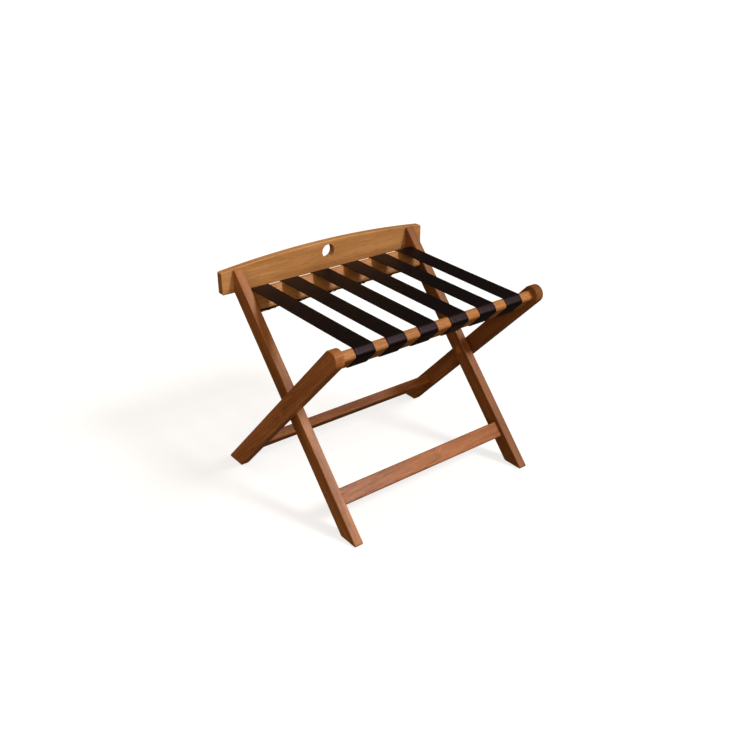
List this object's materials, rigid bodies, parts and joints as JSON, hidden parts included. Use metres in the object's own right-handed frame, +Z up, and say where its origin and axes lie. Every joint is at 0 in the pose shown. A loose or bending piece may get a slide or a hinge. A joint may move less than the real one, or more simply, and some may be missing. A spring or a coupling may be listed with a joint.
{
  "type": "folding luggage rack",
  "caption": "Folding wooden luggage rack: two crossed leg frames on a pair of pivots, black webbing straps between the seat rails, and an arched backboard with a hand hole.",
  "frame": {"origin": "on the floor, under the middle of the rack's bounding box", "axes": "+X to the right across the rack, along the seat rails; +Y to the back, towards the backboard; +Z up"},
  "size_m": [0.606, 0.5064, 0.5324],
  "materials": {
    "wood": "satin varnish over a medium brown stain",
    "plug_wood": "satin varnish over a medium brown stain",
    "dowel_wood": "plain",
    "webbing": "woven, slightly glossy",
    "steel": "zinc plated",
    "spacer_plastic": "matte"
  },
  "bodies": {
    "inner_frame": {"inner_leg_left": "wood", "inner_leg_right": "wood", "backboard": "wood", "backboard_screws": "steel", "rear_seat_rail": "wood", "rear_seat_rail_dowels": "dowel_wood", "front_stretcher": "wood", "front_stretcher_dowels": "dowel_wood", "rear_strap_staples": "steel", "pivot_bolt_left": "steel", "pivot_bolt_right": "steel", "pivot_sleeve_nut_left": "steel", "pivot_sleeve_nut_right": "steel", "pivot_spacer_left": "spacer_plastic", "pivot_spacer_right": "spacer_plastic", "inner_pivot_plug_left": "plug_wood", "inner_pivot_plug_right": "plug_wood", "strap_1": "webbing", "strap_2": "webbing", "strap_3": "webbing", "strap_4": "webbing", "strap_5": "webbing", "strap_6": "webbing"},
    "outer_frame": {"outer_leg_left": "wood", "outer_leg_right": "wood", "front_seat_rail": "wood", "front_seat_rail_dowels": "dowel_wood", "rear_stretcher": "wood", "rear_stretcher_dowels": "dowel_wood", "front_strap_staples": "steel", "outer_pivot_plug_left": "plug_wood", "outer_pivot_plug_right": "plug_wood"}
  },
  "joints": [
    {"name": "fold", "type": "hinge", "parent": "inner_frame", "child": "outer_frame", "pos_m": [0, -0.00828, 0.244], "axis": [-1, 0, 0], "range_deg": [0, 76], "deforming": ["strap_1", "strap_2", "strap_3", "strap_4", "strap_5", "strap_6"]}
  ]
}
